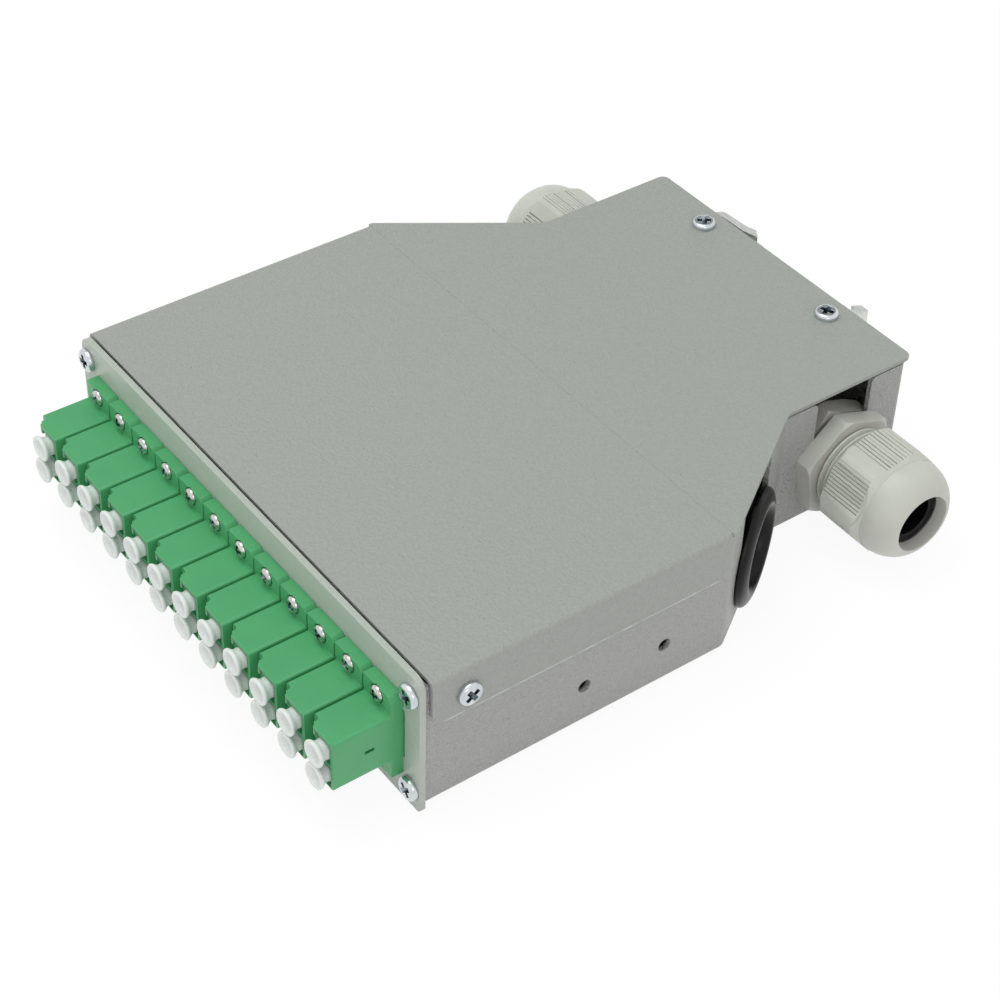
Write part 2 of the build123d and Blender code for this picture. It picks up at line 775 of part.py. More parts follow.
# Two combs on the tray's floor, a groove for each fusion splice
with BuildPart() as splice_holders:
    with BuildSketch(Plane.XY.offset(splice_z + splice_wall)):
        with Locations((0, splice_y)):
            with GridLocations(holder_spacing, 0, 2, 1):
                Rectangle(holder_width, holder_depth)
    extrude(amount=holder_height)
    with BuildSketch(Plane.XY.offset(splice_z + splice_wall + holder_floor)):
        with Locations((0, splice_y)):
            with GridLocations(holder_spacing, 0, 2, 1):
                with GridLocations(holder_width / groove_count, 0, groove_count, 1):
                    Rectangle(groove_width, holder_depth)
    extrude(amount=holder_height, mode=Mode.SUBTRACT)
splice_holders.part.label = "splice_holders"
export_step(splice_holders.part, "parts/splice_holders.step")

with BuildPart() as tray_standoffs:
    with BuildSketch(Plane.XY.offset(sheet)):
        with Locations((0, splice_y)):
            with GridLocations(splice_screw_span_x, splice_screw_span_y, 2, 2):
                RegularPolygon(standoff_diameter / 2, standoff_sides)
                RegularPolygon(m3_thread / 2, screw_sides, mode=Mode.SUBTRACT)
    extrude(amount=standoff_height)
tray_standoffs.part.label = "tray_standoffs"
export_step(tray_standoffs.part, "parts/tray_standoffs.step")

splice_screw_places = [
    (x * splice_screw_span_x / 2, splice_y + y * splice_screw_span_y / 2) for x in (-1, 1) for y in (-1, 1)
]
tray_screws = screw_set(
    Plane.XY.offset(splice_z + splice_wall),
    splice_screw_places,
    m3_head,
    m3_head_height,
    m3_thread - 2 * screw_gap,
    splice_screw_length,
)
tray_screws.label = "tray_screws"
export_step(tray_screws, "parts/tray_screws.step")
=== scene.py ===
from math import atan2, cos, pi, radians

import bmesh
import bpy
from mathutils import Matrix, Vector


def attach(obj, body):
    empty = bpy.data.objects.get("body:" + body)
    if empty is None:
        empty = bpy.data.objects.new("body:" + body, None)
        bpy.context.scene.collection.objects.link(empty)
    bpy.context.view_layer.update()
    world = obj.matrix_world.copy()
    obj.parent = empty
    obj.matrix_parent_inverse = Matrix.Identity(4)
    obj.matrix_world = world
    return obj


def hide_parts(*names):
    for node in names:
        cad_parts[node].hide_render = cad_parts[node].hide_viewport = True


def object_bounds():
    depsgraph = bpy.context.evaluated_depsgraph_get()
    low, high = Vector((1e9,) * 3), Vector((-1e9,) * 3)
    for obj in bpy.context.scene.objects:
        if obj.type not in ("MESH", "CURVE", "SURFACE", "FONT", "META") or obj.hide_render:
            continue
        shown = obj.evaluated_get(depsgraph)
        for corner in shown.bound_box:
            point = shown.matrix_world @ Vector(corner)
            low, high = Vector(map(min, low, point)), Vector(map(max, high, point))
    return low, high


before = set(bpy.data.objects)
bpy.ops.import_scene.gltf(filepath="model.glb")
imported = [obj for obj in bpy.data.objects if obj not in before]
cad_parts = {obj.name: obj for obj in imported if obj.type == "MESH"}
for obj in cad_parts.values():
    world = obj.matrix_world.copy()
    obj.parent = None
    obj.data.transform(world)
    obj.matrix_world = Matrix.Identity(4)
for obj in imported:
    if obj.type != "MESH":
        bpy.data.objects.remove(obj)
cad_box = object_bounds()

# Base tray. One piece of 1.2 mm steel sheet, folded up along the sides, the tapers, the neck and the rear,
# with two tabs at the front for the panel's screws. Powder coated light grey with a coarse texture.
mm = 0.001
sheet = 1.2
tray_half = 65.7
tray_front = -74.0
taper_start = 3.66
taper_end = 37.02
neck_half = 43.35
tray_rear = 73.4
tray_top = 33.1
fold_radius = 1.9
taper_fold = 0.75
tab_width = 5.0
rear_flange = 11.0
rear_flange_narrowing = 30 / 41
gland_y = 54.7
gland_z = 14.4
gland_slot = 8
grommet_spot = (55.37, 19.08, 14.2)
grommet_slot = 10.5
slot_corner = 1.5
bracket_holes = (-34.25, -13.25)
bracket_height = 10.9
bracket_radius = 1.6
cutter_reach = 4
taper_out = Vector((0.8307, 0.5566, 0.0))


def alone(piece):
    """Makes a piece the only one selected, and the active one."""
    bpy.ops.object.select_all(action="DESELECT")
    piece.select_set(True)
    bpy.context.view_layer.objects.active = piece


def named(name):
    """Names the primitive just added, bakes its place into its mesh and opens it in edit mode."""
    piece = bpy.context.object
    piece.name = name
    piece.data.name = name
    bpy.ops.object.transform_apply(location=True, rotation=True, scale=True)
    bpy.ops.object.mode_set(mode="EDIT")
    bpy.ops.mesh.select_mode(type="VERT")
    return piece


def block(name, low, high, turn=0.0):
    """Adds a cube that fills a box given by two corners in millimetres, turned about its upright axis."""
    bpy.ops.object.select_all(action="DESELECT")
    low, high = Vector(low) * mm, Vector(high) * mm
    bpy.ops.mesh.primitive_cube_add(
        size=1, location=(low + high) / 2, rotation=(0, 0, turn), scale=high - low
    )
    return named(name)


def round_bar(name, foot, direction, radius, length, sides=64, turn=0.0):
    """Adds a cylinder from its foot's centre along a direction, in millimetres."""
    bpy.ops.object.select_all(action="DESELECT")
    direction = Vector(direction).normalized()
    pose = direction.to_track_quat("Z", "Y") @ Matrix.Rotation(turn, 3, "Z").to_quaternion()
    middle = (Vector(foot) + direction * length / 2) * mm
    bpy.ops.mesh.primitive_cylinder_add(
        vertices=sides, radius=radius * mm, depth=length * mm, location=middle, rotation=pose.to_euler()
    )
    return named(name)


def chain(name, points):
    """Draws a line of edges by extruding one vertex from point to point, in millimetres."""
    bpy.ops.object.select_all(action="DESELECT")
    bpy.ops.mesh.primitive_plane_add(size=mm)
    piece = named(name)
    bpy.ops.mesh.merge(type="CENTER")
    bpy.ops.transform.translate(value=Vector(points[0]) * mm)
    for here, there in zip(points, points[1:]):
        step = (Vector(there) - Vector(here)) * mm
        bpy.ops.mesh.extrude_vertices_move(TRANSFORM_OT_translate={"value": step})
    bpy.ops.mesh.select_all(action="SELECT")
    return piece


def prism(name, points, foot, height):
    """Fills an outline drawn at a height and extrudes it upwards, in millimetres."""
    piece = chain(name, [(x, y, foot) for x, y in points])
    bpy.ops.mesh.edge_face_add()
    push(0, 0, height)
    clean()
    return piece


def select(piece, kind, test):
    """Selects the vertices, edges or faces whose middle, in millimetres, passes a test."""
    bpy.ops.mesh.select_mode(type=kind)
    bpy.ops.mesh.select_all(action="DESELECT")
    grid = bmesh.from_edit_mesh(piece.data)
    for part in {"VERT": grid.verts, "EDGE": grid.edges, "FACE": grid.faces}[kind]:
        corners = [part] if kind == "VERT" else part.verts
        middle = sum((corner.co for corner in corners), Vector()) / len(corners) / mm
        if test(middle, part):
            part.select_set(True)
    grid.select_flush_mode()
    bmesh.update_edit_mesh(piece.data)


def push(x, y, z):
    """Extrudes what is selected by a step in millimetres."""
    bpy.ops.mesh.extrude_region_move(TRANSFORM_OT_translate={"value": (x * mm, y * mm, z * mm)})


def clean():
    """Merges doubles and turns all faces outwards."""
    bpy.ops.mesh.select_all(action="SELECT")
    bpy.ops.mesh.remove_doubles(threshold=0.002 * mm)
    bpy.ops.mesh.normals_make_consistent(inside=False)


def closed():
    """Leaves edit mode."""
    bpy.ops.object.mode_set(mode="OBJECT")


def apply(piece, kind, **settings):
    """Adds one modifier to a piece and applies it."""
    alone(piece)
    modifier = piece.modifiers.new(kind.lower(), kind)
    for setting, value in settings.items():
        setattr(modifier, setting, value)
    bpy.ops.object.modifier_apply(modifier=modifier.name)


def combine(piece, tool, operation="DIFFERENCE"):
    """Cuts, joins or intersects a piece with a tool, and clears the tool away."""
    if bpy.context.object.mode == "EDIT":
        closed()
    apply(piece, "BOOLEAN", operation=operation, solver="EXACT", object=tool)
    bpy.data.objects.remove(tool)


def smooth(piece, angle):
    """Shades a piece smooth up to an angle, with its large faces kept flat."""
    alone(piece)
    bpy.ops.object.shade_smooth_by_angle(angle=radians(angle))
    apply(piece, "WEIGHTED_NORMAL", keep_sharp=True)


def ease(piece, width, segments=2, angle=35.0):
    """Rounds every sharp edge a little, as paint, moulding or tumbling does, and smooths the shading."""
    apply(
        piece,
        "BEVEL",
        width=width * mm,
        segments=segments,
        limit_method="ANGLE",
        angle_limit=radians(angle),
        use_clamp_overlap=True,
    )
    smooth(piece, 32)


def dress(piece, material, body, slot, *nodes):
    """Gives a piece its finish, the body that it rides on and the nodes that it stands for."""
    if not piece.data.materials:
        piece.data.materials.append(material)
    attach(piece, body)
    if nodes:
        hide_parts(*nodes)


def new_material(name, colour, roughness, metallic=0.0):
    """A material with its nodes cleared down to the main shader, and object coordinates beside it."""
    material = bpy.data.materials.new(name)
    material.use_nodes = True
    nodes = material.node_tree.nodes
    shader = nodes["Principled BSDF"]
    shader.inputs["Base Color"].default_value = (*colour, 1)
    shader.inputs["Roughness"].default_value = roughness
    shader.inputs["Metallic"].default_value = metallic
    place = nodes.new("ShaderNodeTexCoord")
    return material, nodes, material.node_tree.links, shader, place


def noise(nodes, links, place, scale, detail=2.0, rough=0.5, stretch=None):
    """A noise texture at so many cells a metre, stretched along an axis where asked."""
    texture = nodes.new("ShaderNodeTexNoise")
    texture.inputs["Scale"].default_value = scale
    texture.inputs["Detail"].default_value = detail
    texture.inputs["Roughness"].default_value = rough
    if stretch:
        mapping = nodes.new("ShaderNodeMapping")
        mapping.inputs["Scale"].default_value = stretch
        links.new(place.outputs["Object"], mapping.inputs["Vector"])
        links.new(mapping.outputs["Vector"], texture.inputs["Vector"])
    else:
        links.new(place.outputs["Object"], texture.inputs["Vector"])
    return texture


def bump(nodes, links, shader, texture, height, after=None):
    """Raises the surface by a texture, its full height in millimetres."""
    node = nodes.new("ShaderNodeBump")
    node.inputs["Strength"].default_value = 1.0
    node.inputs["Distance"].default_value = height * mm
    links.new(texture.outputs["Fac"], node.inputs["Height"])
    if after:
        links.new(after.outputs["Normal"], node.inputs["Normal"])
    links.new(node.outputs["Normal"], shader.inputs["Normal"])
    return node


def mottle(nodes, links, shader, texture, low, high, dark, light):
    """Mixes two colours over a span of a texture."""
    ramp = nodes.new("ShaderNodeValToRGB")
    ramp.color_ramp.elements[0].position = low
    ramp.color_ramp.elements[1].position = high
    ramp.color_ramp.elements[0].color = (*dark, 1)
    ramp.color_ramp.elements[1].color = (*light, 1)
    links.new(texture.outputs["Fac"], ramp.inputs["Fac"])
    links.new(ramp.outputs["Color"], shader.inputs["Base Color"])
    return ramp


def powder_coat(name, colour, grain, relief):
    """Textured powder coat: soft pebbles, a finer skin over them and a few dark specks."""
    material, nodes, links, shader, place = new_material(name, colour, 0.42)
    pebbles = noise(nodes, links, place, grain, 1.5, 0.45)
    skin = noise(nodes, links, place, grain * 3.4, 1.0, 0.5)
    first = bump(nodes, links, shader, pebbles, relief)
    bump(nodes, links, shader, skin, relief * 0.25, first)
    dark = [part * 0.975 for part in colour]
    light = [part * 1.02 for part in colour]
    shade = mottle(nodes, links, shader, pebbles, 0.32, 0.68, dark, light)
    specks = nodes.new("ShaderNodeTexVoronoi")
    specks.inputs["Scale"].default_value = 260
    links.new(place.outputs["Object"], specks.inputs["Vector"])
    mask = nodes.new("ShaderNodeValToRGB")
    mask.color_ramp.elements[0].position = 0.02
    mask.color_ramp.elements[0].color = (0.8, 0.8, 0.8, 1)
    mask.color_ramp.elements[1].position = 0.035
    mask.color_ramp.elements[1].color = (0, 0, 0, 1)
    links.new(specks.outputs["Distance"], mask.inputs["Fac"])
    mix = nodes.new("ShaderNodeMix")
    mix.data_type = "RGBA"
    mix.inputs["B"].default_value = (0.05, 0.05, 0.05, 1)
    links.new(mask.outputs["Color"], mix.inputs["Factor"])
    links.new(shade.outputs["Color"], mix.inputs["A"])
    links.new(mix.outputs["Result"], shader.inputs["Base Color"])
    return material


tray_paint = powder_coat("tray_paint", (0.437, 0.433, 0.427), 1250, 0.6)
bpy.ops.object.select_all(action="DESELECT")
bpy.ops.mesh.primitive_plane_add(size=1, location=(0, (tray_front + taper_start) / 2 * mm, 0))
bpy.context.object.scale = (2 * tray_half * mm, (taper_start - tray_front) * mm, 1)
tray = named("tray")
select(tray, "EDGE", lambda c, e: c.y > taper_start - 0.1)
push(0, taper_end - taper_start, 0)
bpy.ops.transform.resize(value=(neck_half / tray_half, 1, 1))
push(0, tray_rear - taper_end, 0)
select(tray, "EDGE", lambda c, e: e.is_boundary and c.y > tray_front + 0.1)
push(0, 0, tray_top)
clean()


def folded_first(c, e):
    """Tells the folds along the floor and the upright corners of the rear wall."""
    if abs(c.z) < 0.01 and not e.is_boundary:
        return abs(e.link_faces[0].normal.z - e.link_faces[1].normal.z) > 0.5
    return abs(c.y - tray_rear) < 0.01 and abs(abs(c.x) - neck_half) < 0.01


select(tray, "EDGE", folded_first)
bpy.ops.mesh.bevel(offset=fold_radius * mm, segments=4, affect="EDGES")
for at_x, at_y in ((tray_half, taper_start), (neck_half, taper_end)):
    select(
        tray,
        "EDGE",
        lambda c, e: (Vector((abs(c.x), c.y)) - Vector((at_x, at_y))).length < 2.5
        and abs(e.verts[0].co.z - e.verts[1].co.z) > 0.1 * e.calc_length(),
    )
    bpy.ops.mesh.bevel(offset=taper_fold * mm, segments=3, affect="EDGES")
for side in (-1, 1):
    select(
        tray,
        "EDGE",
        lambda c, e: e.is_boundary
        and c.x * side > tray_half - 0.1
        and abs(c.y - tray_front) < 0.01
        and c.z > 5,
    )
    push(-tab_width * side, 0, 0)
select(tray, "EDGE", lambda c, e: abs(c.y - tray_rear) < 0.01 and c.z > tray_top - 0.1 and abs(c.x) < 1)
push(0, 0, 0.7)
push(0, -rear_flange, 0)
bpy.ops.transform.resize(value=(rear_flange_narrowing, 1, 1))
clean()
floor_face = max(bmesh.from_edit_mesh(tray.data).faces, key=lambda face: face.calc_area())
if floor_face.normal.z > 0:
    bpy.ops.mesh.flip_normals()
closed()
apply(tray, "SOLIDIFY", thickness=sheet * mm, offset=-1, use_even_offset=True)
for side in (-1, 1):
    wall = side * neck_half
    foot = (wall - side * cutter_reach, gland_y, gland_z)
    low = (wall - cutter_reach, gland_y - gland_slot, gland_z)
    high = (wall + cutter_reach, gland_y + gland_slot, 40)
    combine(tray, round_bar("slot_foot", foot, (side, 0, 0), gland_slot, 2 * cutter_reach))
    combine(tray, block("slot", low, high))
    spot = Vector((side * grommet_spot[0], grommet_spot[1], grommet_spot[2]))
    out = Vector((side * taper_out.x, taper_out.y, 0))
    low = (spot.x - cutter_reach, spot.y - grommet_slot, spot.z)
    high = (spot.x + cutter_reach, spot.y + grommet_slot, 40)
    combine(tray, round_bar("slot_foot", spot - out * cutter_reach, out, grommet_slot, 2 * cutter_reach))
    combine(tray, block("slot", low, high, atan2(out.y, out.x)))
    for hole_y in bracket_holes:
        foot = (side * 60, hole_y, bracket_height)
        combine(tray, round_bar("hole", foot, (side, 0, 0), bracket_radius, 10, 32))
    alone(tray)
    bpy.ops.object.mode_set(mode="EDIT")
    select(
        tray,
        "EDGE",
        lambda c, e: abs(abs(c.y - gland_y) - gland_slot) < 0.05
        and c.z > tray_top - 0.05
        and c.x * side > neck_half - sheet - 0.1,
    )
    bpy.ops.mesh.bevel(offset=slot_corner * mm, segments=4, affect="EDGES")
    closed()
ease(tray, 0.16)
dress(tray, tray_paint, "box", "tray_paint", "base_tray")

# Inside the case: a moulded splice tray on four press-in standoffs, with two combs for the splices.
# The solids are right as they are; they get their moulded and plated finishes here.


def finish(name, colour, roughness, grain, tone, dark, light, metallic=0.0, rough=0.5, span=(0.3, 0.7)):
    """A material with a fine grain (cells a metre, relief) and two shades (cells a metre, detail)."""
    material, nodes, links, shader, place = new_material(name, colour, roughness, metallic)
    bump(nodes, links, shader, noise(nodes, links, place, grain[0], 2.0, rough), grain[1])
    mottle(nodes, links, shader, noise(nodes, links, place, *tone), *span, dark, light)
    return material


tray_plastic = finish(
    "tray_plastic",
    (0.5, 0.5, 0.48),
    roughness=0.5,
    grain=(2600, 0.01),
    tone=(90, 2.0),
    dark=(0.47, 0.47, 0.45),
    light=(0.52, 0.52, 0.5),
    span=(0.35, 0.65),
)
ceramic, nodes, links, shader, place = new_material("ceramic", (0.7, 0.68, 0.64), 0.22)
bump(nodes, links, shader, noise(nodes, links, place, 4000), 0.002)
zinc = finish(
    "zinc",
    (0.62, 0.66, 0.69),
    roughness=0.22,
    grain=(1800, 0.006),
    tone=(500, 2.0),
    dark=(0.55, 0.6, 0.64),
    light=(0.68, 0.71, 0.73),
    metallic=1.0,
)


def refinish(node, material):
    """Gives a carried-over solid its material."""
    piece = bpy.data.objects[node]
    piece.data.materials.clear()
    piece.data.materials.append(material)


for node in ("splice_tray", "splice_holders"):
    refinish(node, tray_plastic)
for node in ("tray_standoffs", "tray_screws"):
    refinish(node, zinc)
refinish("alignment_sleeves", ceramic)

# Rail clip. A length sawn from an extruded aluminium section: plate, fixed hook at the right, springing arm
# at the left. Plain metal, with saw marks across the two ends, screwed to the rear wall.
clip_foot = 2.8
clip_length = 29.4
clip_section = [
    (-27.4, 0), (23.4, 0), (23.4, 6.9), (20.8, 6.9), (19.7, 5.0), (19.7, 4.8), (20.8, 4.8), (20.8, 3.6),
    (18.3, 3.6), (18.3, 1.5), (-9.6, 1.5), (-9.6, 3.6), (-12.1, 3.6), (-12.1, 1.5), (-25.4, 1.5),
    (-25.4, 3.6),
    (-17.5, 3.9), (-14.6, 4.8), (-13.5, 4.8), (-13.5, 5.0), (-16.0, 6.7), (-18.2, 5.9), (-27.4, 5.3),
]
clip_roundings = (
    (-27.4, 0, 1.2), (-27.4, 5.3, 1.9), (-25.4, 1.5, 0.7), (-25.4, 3.6, 0.6), (-16.0, 6.7, 0.3),
    (23.4, 6.9, 0.3),
)
clip = prism("clip", [(x, tray_rear + y) for x, y in clip_section], clip_foot, clip_length)
for at_x, at_y, radius in clip_roundings:
    select(
        clip,
        "EDGE",
        lambda c, e: abs(c.x - at_x) < 0.05 and abs(c.y - tray_rear - at_y) < 0.05 and 10 < c.z < 25,
    )
    bpy.ops.mesh.bevel(offset=radius * mm, segments=5, affect="EDGES")
closed()
ease(clip, 0.1)
aluminium, nodes, links, shader, place = new_material("aluminium", (0.78, 0.78, 0.77), 0.55, 1.0)
saw = noise(nodes, links, place, 900, 2.0, 0.6, (0.25, 3.0, 0.25))
draw = noise(nodes, links, place, 2200, 2.0, 0.6, (1.0, 1.0, 0.02))
first = bump(nodes, links, shader, saw, 0.02)
bump(nodes, links, shader, draw, 0.006, first)
mottle(nodes, links, shader, saw, 0.3, 0.7, (0.66, 0.66, 0.65), (0.84, 0.84, 0.83))
dress(clip, aluminium, "box", "clip_aluminium", "rail_clip")

# M3 pan-head screws with a cross recess. Steel, turned and pressed, zinc plated: four hold the panel, four
# the cover, two the rail clip.
m3_profile = [
    (0, 1.5), (1.9, 1.5), (2.35, 1.4), (2.64, 1.14), (2.79, 0.75), (2.8, 0.3), (2.72, 0.0), (1.4, 0.0),
    (1.4, -6.6), (1.0, -7.0), (0, -7.0),
]
panel_front = -75.5
# Dark metal for the walls of the screws' cross recesses: painted shade standing in for the shade and dark
# reflections inside the recess.
recess_painted_shade = finish(
    "recess_painted_shade",
    (0.16, 0.2, 0.22),
    roughness=0.3,
    grain=(2500, 0.01),
    tone=(700, 2.0),
    dark=(0.09, 0.12, 0.14),
    light=(0.26, 0.31, 0.33),
    metallic=1.0,
)


def turned(name, profile, steps=48):
    """Spins a half section of (radius, height) points about the upright axis at the origin."""
    piece = chain(name, [(radius, 0, height) for radius, height in profile])
    bpy.ops.mesh.spin(steps=steps, angle=2 * pi, center=(0, 0, 0), axis=(0, 0, 1))
    clean()
    closed()
    return piece


def cross_recess(head, top, reach, width, depth):
    """Presses a cross recess into a screw head whose top is at a height, all in millimetres."""
    for turn in (0, pi / 2):
        blade = block("blade", (-reach, -width / 2, top - depth), (reach, width / 2, top + 0.5), turn)
        select(blade, "FACE", lambda c, f: f.normal.z < -0.5)
        bpy.ops.transform.resize(value=(0.55, 0.55, 1))
        combine(head, blade)


def shaded_recess(head, metal, top, reach):
    """Gives a head its plating, and the walls of its recess a dark metal as painted shade."""
    head.data.materials.append(metal)
    head.data.materials.append(recess_painted_shade)
    for face in head.data.polygons:
        middle = face.center / mm
        within = middle.xy.length < reach and 0 < middle.z < top - 0.06
        face.material_index = 1 if within else 0


def placed(piece, name, pose):
    """Copies a piece with its own mesh to a pose."""
    twin = piece.copy()
    twin.data = piece.data.copy()
    twin.name = name
    twin.data.name = name
    bpy.context.collection.objects.link(twin)
    twin.data.transform(pose)
    return twin


def pose(x, y, z, facing, turn=0.0):
    """A place in millimetres whose upright axis faces out of the front, a side or the top."""
    columns = {
        "front": ((1, 0, 0), (0, 0, 1), (0, -1, 0)),
        "rear": ((-1, 0, 0), (0, 0, 1), (0, 1, 0)),
        "right": ((0, 1, 0), (0, 0, 1), (1, 0, 0)),
        "left": ((0, -1, 0), (0, 0, 1), (-1, 0, 0)),
        "top": ((1, 0, 0), (0, 1, 0), (0, 0, 1)),
    }[facing]
    spin = Matrix(columns).transposed().to_4x4() @ Matrix.Rotation(radians(turn), 4, "Z")
    return Matrix.Translation(Vector((x, y, z)) * mm) @ spin


def joined(name, pieces):
    """Joins pieces into one."""
    alone(pieces[0])
    for piece in pieces:
        piece.select_set(True)
    bpy.ops.object.join()
    pieces[0].name = name
    pieces[0].data.name = name
    return pieces[0]


m3_screw = turned("m3_screw", m3_profile)
cross_recess(m3_screw, 1.5, 1.95, 1.25, 1.4)
ease(m3_screw, 0.05, 2, 50)
# The walls of the cross recess get painted shade.
shaded_recess(m3_screw, zinc, 1.5, 2.15)
m3_sets = (
    (
        "screws_of_panel",
        "panel_screws",
        (
            (63.2, panel_front, 30.6, "front", 28),
            (63.2, panel_front, 4.4, "front", 40),
            (-63.2, panel_front, 30.6, "front", 12),
            (-63.2, panel_front, 4.4, "front", 65),
        ),
    ),
    (
        "screws_of_cover",
        "cover_screws",
        (
            (21.8, 68.1, 35, "top", 20),
            (-21.8, 68.1, 35, "top", 55),
            (67, -64.6, 28.3, "right", 35),
            (-67, -64.6, 28.3, "left", 15),
        ),
    ),
    (
        "screws_of_clip",
        "rail_clip_screws",
        (
            (-4.9, tray_rear + 1.5, 17.5, "rear", 30),
            (11.1, tray_rear + 1.5, 17.5, "rear", 30),
        ),
    ),
)
for name, node, spots in m3_sets:
    screws = joined(name, [placed(m3_screw, "screw", pose(*spot)) for spot in spots])
    dress(screws, zinc, "box", "zinc", node)
bpy.data.objects.remove(m3_screw)

# Cable glands. Moulded off-white polyamide: a body with a hexagon flange outside the wall and threads both
# ways, a lock nut inside the wall, and a ribbed nut with a domed mouth that squeezes a black rubber seal.
hexagon_turn = radians(10)
nut_turn = radians(40)
corner_factor = 1 / cos(pi / 6)
gland_hexagon = 23.3
lock_hexagon = 22
nut_hexagon = 23.8
ribs_per_flat = 10
rib_pitch = 0.92
first_rib = 0.75
groove_width = 0.3
groove_depth = 0.4


def tune(material, settings):
    """Sets inputs of a material's shader."""
    for name, value in settings.items():
        material.node_tree.nodes["Principled BSDF"].inputs[name].default_value = value


nylon = finish(
    "nylon",
    (0.635, 0.628, 0.585),
    roughness=0.42,
    grain=(1500, 0.012),
    tone=(160, 3.0),
    dark=(0.618, 0.613, 0.57),
    light=(0.658, 0.653, 0.61),
)
nylon_depth = (0.002, 0.002, 0.0016)
tune(nylon, {"Subsurface Weight": 0.12, "Subsurface Radius": nylon_depth, "Subsurface Scale": 0.5})
black_rubber = finish(
    "black_rubber",
    (0.005, 0.005, 0.006),
    roughness=0.3,
    grain=(1400, 0.012),
    tone=(200, 3.0),
    dark=(0.004, 0.004, 0.005),
    light=(0.007, 0.007, 0.008),
)
tune(black_rubber, {"Specular IOR Level": 0.22})

gland_body = round_bar(
    "gland_body", (0, 0, 0), (0, 0, 1), gland_hexagon / 2 * corner_factor, 4.3, 6, hexagon_turn
)
closed()
combine(
    gland_body,
    turned("barrel", [(0, 0), (13.3, 0), (13.45, 0.2), (13.45, 3.6), (12.5, 4.3), (0, 4.3)], 96),
    "INTERSECT",
)
shell = turned(
    "shell",
    [
        (6.2, -9.8), (6.5, -10.0), (7.2, -10.0), (7.3, -9.7), (7.3, 1.0), (9.25, 1.0), (9.25, 13.9),
        (9.0, 14.4), (8.4, 14.5), (8.2, 14.2), (8.2, 5.0), (6.2, 5.0), (6.2, -9.8),
    ],
    72,
)


def thread(name, root, crest, pitch, foot, turns):
    """A raised thread: one tooth's outline carried round and up by a screw."""
    outline = ((0, 0), (0.62, 0.14), (0.95, 0.3), (1, 0.45), (0.95, 0.6), (0.62, 0.76), (0, 0.9), (0, 1))
    tooth = [(root + rise * (crest - root), pitch * along) for rise, along in outline]
    piece = chain(name, [(radius, 0, foot + height) for radius, height in tooth])
    closed()
    apply(
        piece,
        "SCREW",
        axis="Z",
        angle=2 * pi,
        screw_offset=pitch * mm,
        iterations=turns,
        steps=48,
        render_steps=48,
        use_merge_vertices=True,
    )
    bpy.ops.object.mode_set(mode="EDIT")
    clean()
    closed()
    return piece


outer_thread = thread("outer_thread", 9.22, 10.3, 1.5, 3.9, 6)
inner_thread = thread("inner_thread", 7.29, 7.8, 1.5, -9.6, 6)
combine(gland_body, round_bar("hole", (0, 0, -1), (0, 0, 1), 8.8, 8))
ease(gland_body, 0.22, 3, 30)
for piece in (shell, outer_thread, inner_thread):
    smooth(piece, 30)
gland_body = joined("gland_body", [gland_body, shell, outer_thread, inner_thread])

lock_nut = round_bar(
    "lock_nut", (0, 0, -6.3), (0, 0, 1), lock_hexagon / 2 * corner_factor, 5, 6, hexagon_turn
)
closed()
combine(
    lock_nut,
    turned("barrel", [(0, -6.3), (11.3, -6.3), (12.7, -5.3), (12.7, -2.3), (11.3, -1.3), (0, -1.3)], 96),
    "INTERSECT",
)
combine(lock_nut, round_bar("hole", (0, 0, -8), (0, 0, 1), 7.9, 8))
ease(lock_nut, 0.2, 2, 30)

flat_width = nut_hexagon / 2 * corner_factor
gland_nut = round_bar("gland_nut", (0, 0, 8.6), (0, 0, 1), flat_width, 12, 6, nut_turn)
closed()
blades = []
for flat in range(6):
    facing = nut_turn + flat * pi / 3
    for rib in range(ribs_per_flat):
        along = -flat_width / 2 + first_rib + rib * rib_pitch
        low = (nut_hexagon / 2 - groove_depth, along - groove_width / 2, 7)
        blade = block("blade", low, (13, along + groove_width / 2, 19.3))
        closed()
        blade.data.transform(Matrix.Rotation(facing, 4, "Z"))
        blades.append(blade)
combine(gland_nut, joined("blades", blades))
combine(
    gland_nut,
    turned("barrel", [(0, 8.6), (12.5, 8.6), (13.2, 9.4), (13.2, 18.9), (11.9, 20.6), (0, 20.6)], 96),
    "INTERSECT",
)
dome = turned(
    "dome",
    [
        (0, 19.8), (11.78, 19.8), (11.8, 20.8), (11.72, 22.0), (11.45, 23.3), (10.95, 24.6), (10.25, 25.8),
        (9.4, 26.8), (8.6, 27.5), (7.95, 27.9), (7.5, 28.07), (7.2, 28.1), (0, 28.1),
    ],
    96,
)
combine(gland_nut, dome, "UNION")
combine(
    gland_nut,
    turned(
        "bore",
        [(0, 8.0), (10.45, 8.0), (10.45, 19.4), (6.8, 25.2), (6.8, 26.6), (7.1, 28.2), (0, 28.2)],
        96,
    ),
)
ease(gland_nut, 0.07, 2, 34)

seal = turned(
    "seal",
    [
        (5.0, 9.5), (5.2, 9.3), (7.7, 9.3), (7.9, 9.5), (7.9, 19.0), (7.2, 21.2), (6.6, 23.0), (6.6, 24.8),
        (6.4, 25.0), (5.3, 24.9), (5.0, 24.6), (5.0, 9.5),
    ],
    72,
)
smooth(seal, 30)
for name, side in (("left", -1), ("right", 1)):
    spot = pose(side * neck_half, gland_y, gland_z, name)
    for piece, copy_name, material, body, slot, node in (
        (gland_body, "gland", nylon, "box", "gland_plastic", "gland_body"),
        (lock_nut, "lock_nut", nylon, "box", "gland_plastic", "gland_lock_nut"),
        (gland_nut, "dome_nut", nylon, f"nut_{name}", "gland_plastic", "gland_nut"),
        (seal, "rubber_seal", black_rubber, f"seal_{name}", "black_rubber", "gland_seal"),
    ):
        dress(placed(piece, f"{copy_name}_{name}", spot), material, body, slot, f"{node}_{name}")
for piece in (gland_body, lock_nut, gland_nut, seal):
    bpy.data.objects.remove(piece)

